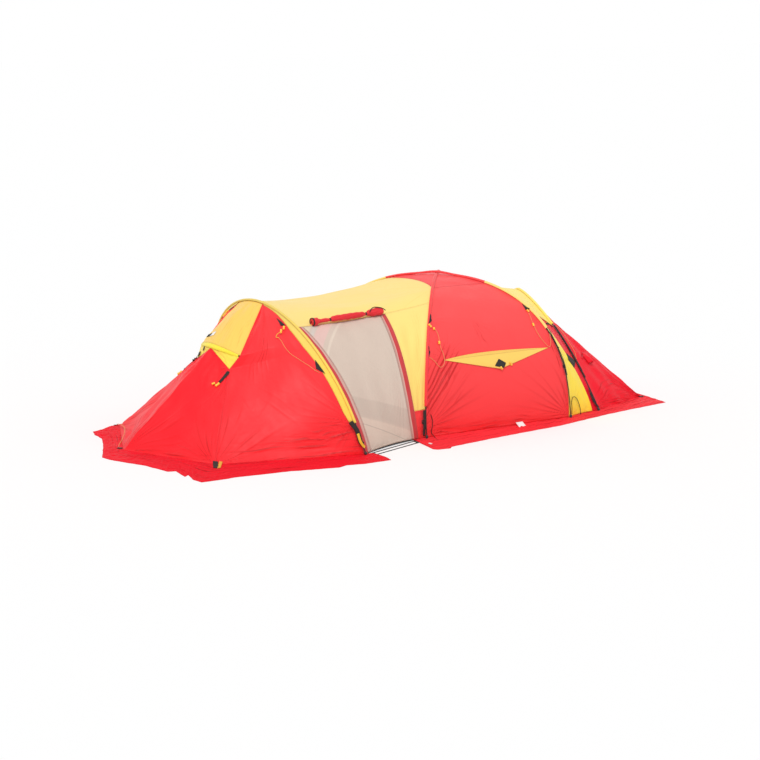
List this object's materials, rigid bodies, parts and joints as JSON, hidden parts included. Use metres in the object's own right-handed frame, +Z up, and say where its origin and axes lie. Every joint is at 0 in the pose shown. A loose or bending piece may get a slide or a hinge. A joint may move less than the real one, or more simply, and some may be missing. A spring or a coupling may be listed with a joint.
{
  "type": "expedition tent",
  "caption": "Crossed-pole dome tent with a hooped front vestibule and nose, a rear cone, netted side doors, a hung inner room and snow flaps",
  "frame": {"origin": "on the ground under the crossing of the two dome poles, on the underside of the groundsheet", "axes": "+X runs to the rear along the tent, +Z up, and the open netted doorway is on the -Y side"},
  "size_m": [5.902, 3.276, 1.3897],
  "materials": {
    "red_fly": "coated ripstop nylon, slight sheen",
    "yellow_fly": "coated ripstop nylon, slight sheen",
    "bright_yellow": "stiffened coated nylon",
    "pale_sleeve": "woven sleeve cloth",
    "door_net": "fine insect netting",
    "inner_cloth": "breathable plain weave",
    "floor_cloth": "coated heavy nylon",
    "black_webbing": "woven webbing",
    "black_plastic": "moulded, matt",
    "pole_metal": "black anodised tube",
    "cord": "braided cord"
  },
  "bodies": {
    "tent": {"dome_cap": "red_fly", "dome_front_guy_cord": "cord", "dome_pole_lower": "pole_metal", "dome_pole_upper": "pole_metal", "dome_pull_cord": "black_webbing", "dome_rear_guy_cord": "cord", "dome_sleeve_lower": "red_fly", "dome_sleeve_upper": "red_fly", "doorway_front_band_far": "red_fly", "doorway_front_band_near": "red_fly", "doorway_rear_band_far": "red_fly", "doorway_rear_band_near": "red_fly", "front_hoop_pole": "pole_metal", "front_hoop_sleeve": "pale_sleeve", "groundsheet": "floor_cloth", "hood_brim": "bright_yellow", "hood_gusset_far": "yellow_fly", "hood_gusset_near": "yellow_fly", "inner_canopy": "inner_cloth", "inner_front_wall": "inner_cloth", "inner_hanger_far": "black_webbing", "inner_hanger_near": "black_webbing", "nose_front_panel": "red_fly", "nose_guy_cord": "cord", "nose_peg_cord": "cord", "nose_side_panel_far": "red_fly", "nose_side_panel_near": "red_fly", "pole_cup_dome_front_far": "black_plastic", "pole_cup_dome_front_near": "black_plastic", "pole_cup_dome_rear_far": "black_plastic", "pole_cup_dome_rear_near": "black_plastic", "pole_cup_front_far": "black_plastic", "pole_cup_front_near": "black_plastic", "pole_cup_rear_far": "black_plastic", "pole_cup_rear_near": "black_plastic", "rear_guy_cord": "cord", "rear_hoop_pole": "pole_metal", "rear_hoop_sleeve": "yellow_fly", "rear_pull_cord": "black_webbing", "rear_roof": "yellow_fly", "rolled_door": "red_fly", "side_panel_far": "red_fly", "side_panel_near": "red_fly", "sill_strap_far": "black_webbing", "sill_strap_near": "black_webbing", "snow_flap_front": "red_fly", "snow_flap_rear": "red_fly", "tail_end_panel": "red_fly", "tail_side_panel_far": "red_fly", "tail_side_panel_near": "red_fly", "tail_vent_hood": "red_fly", "vent_hood": "yellow_fly", "vestibule_roof": "yellow_fly", "vestibule_wall_far": "yellow_fly", "vestibule_wall_near": "yellow_fly"},
    "near_net_door": {"near_net_door": "door_net"},
    "far_door": {"far_door": "red_fly"},
    "inner_door": {"inner_door": "inner_cloth"},
    "side_wing_near": {"side_wing_near": "yellow_fly"},
    "side_wing_far": {"side_wing_far": "yellow_fly"}
  },
  "joints": [
    {"name": "near_net_door_lift", "type": "hinge", "parent": "tent", "child": "near_net_door", "pos_m": [-1.47718, -0.60573, 1.1125], "axis": [-0.9982, -0.0527, -0.0276], "range_deg": [0, 70]},
    {"name": "far_door_lift", "type": "hinge", "parent": "tent", "child": "far_door", "pos_m": [-1.47718, 0.60573, 1.1125], "axis": [0.9982, -0.0527, 0.0276], "range_deg": [0, 70]},
    {"name": "inner_door_drop", "type": "hinge", "parent": "tent", "child": "inner_door", "pos_m": [-0.778, 0, 0.14], "axis": [0, -1, 0], "range_deg": [0, 105]},
    {"name": "side_wing_near_lift", "type": "hinge", "parent": "tent", "child": "side_wing_near", "pos_m": [0.05, -0.96362, 0.7], "axis": [-1, 0, 0], "range_deg": [0, 60]},
    {"name": "side_wing_far_lift", "type": "hinge", "parent": "tent", "child": "side_wing_far", "pos_m": [0.05, 0.96362, 0.7], "axis": [1, 0, 0], "range_deg": [0, 60]}
  ]
}
